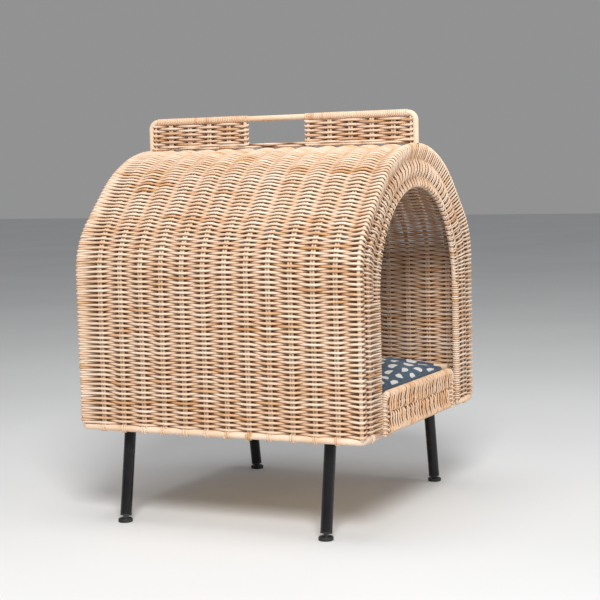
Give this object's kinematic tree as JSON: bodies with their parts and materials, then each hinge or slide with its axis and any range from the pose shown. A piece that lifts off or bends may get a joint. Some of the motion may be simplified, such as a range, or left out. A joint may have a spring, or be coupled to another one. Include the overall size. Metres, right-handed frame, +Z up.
{
  "type": "raised hooded wicker pet bed",
  "caption": "Barrel-roofed woven hood with an arched doorway and a ridge handle, over a woven tray with a cushion, on splayed black tube legs.",
  "frame": {"origin": "on the floor, midway between the four feet", "axes": "+Z up, -Y out of the doorway, +X to the right of somebody facing the back wall"},
  "size_m": [0.4212, 0.4312, 0.5615],
  "materials": {
    "rattan_rod": "natural rattan, satin",
    "rattan_stake": "natural rattan, satin",
    "rattan_weave": "woven natural rattan core",
    "cane_binding": "split cane, satin",
    "plywood": "sanded plywood",
    "black_steel": "glossy black powder coat",
    "zinc_steel": "black zinc plated",
    "black_plastic": "moulded",
    "printed_fabric": "blue cotton with off-white half-discs",
    "filling": "polyester wadding"
  },
  "bodies": {
    "tray": {"tray_floor": "plywood", "tray_foot_rod": "rattan_rod", "tray_rim_rod": "rattan_rod", "tray_stakes": "rattan_stake", "tray_weave": "rattan_weave", "sill_frame_rod": "rattan_rod", "sill_bottom_rail": "rattan_rod", "sill_mid_rails": "rattan_stake", "sill_weave": "rattan_weave", "sill_bindings": "cane_binding", "leg_front_left": "black_steel", "leg_front_right": "black_steel", "leg_back_left": "black_steel", "leg_back_right": "black_steel", "leg_plates": "black_steel", "plate_screws": "zinc_steel", "leg_inserts": "black_plastic"},
    "hood": {"front_outer_hoop": "rattan_rod", "front_rim_hoop": "rattan_rod", "front_stakes": "rattan_stake", "front_weave": "rattan_weave", "back_outer_hoop": "rattan_rod", "back_stakes": "rattan_stake", "back_weave": "rattan_weave", "barrel_stakes": "rattan_stake", "barrel_weave": "rattan_weave", "side_foot_rods": "rattan_rod", "back_foot_rod": "rattan_rod", "jamb_foot_rods": "rattan_rod", "foot_lashings": "cane_binding", "ledge_rods": "rattan_rod", "ridge_rail": "rattan_rod", "ridge_posts": "rattan_rod", "ridge_stakes": "rattan_stake", "ridge_weave": "rattan_weave", "ridge_bindings": "cane_binding"},
    "cushion": {"cushion_cover": "printed_fabric", "cushion_filling": "filling"},
    "glide_front_left": {"glide_stem_front_left": "zinc_steel", "glide_pad_front_left": "black_plastic"},
    "glide_front_right": {"glide_stem_front_right": "zinc_steel", "glide_pad_front_right": "black_plastic"},
    "glide_back_left": {"glide_stem_back_left": "zinc_steel", "glide_pad_back_left": "black_plastic"},
    "glide_back_right": {"glide_stem_back_right": "zinc_steel", "glide_pad_back_right": "black_plastic"}
  },
  "joints": [
    {"name": "hood_lift", "type": "slide", "parent": "tray", "child": "hood", "axis": [0, 0, 1], "range_m": [0, 0.12]},
    {"name": "cushion_lift", "type": "slide", "parent": "tray", "child": "cushion", "axis": [0, 0, 1], "range_m": [0, 0.1]},
    {"name": "glide_front_left_screw", "type": "slide", "parent": "tray", "child": "glide_front_left", "axis": [-0.1619, 0, -0.9868], "range_m": [0, 0.008]},
    {"name": "glide_front_right_screw", "type": "slide", "parent": "tray", "child": "glide_front_right", "axis": [0.1619, 0, -0.9868], "range_m": [0, 0.008]},
    {"name": "glide_back_left_screw", "type": "slide", "parent": "tray", "child": "glide_back_left", "axis": [-0.1619, 0, -0.9868], "range_m": [0, 0.008]},
    {"name": "glide_back_right_screw", "type": "slide", "parent": "tray", "child": "glide_back_right", "axis": [0.1619, 0, -0.9868], "range_m": [0, 0.008]}
  ]
}
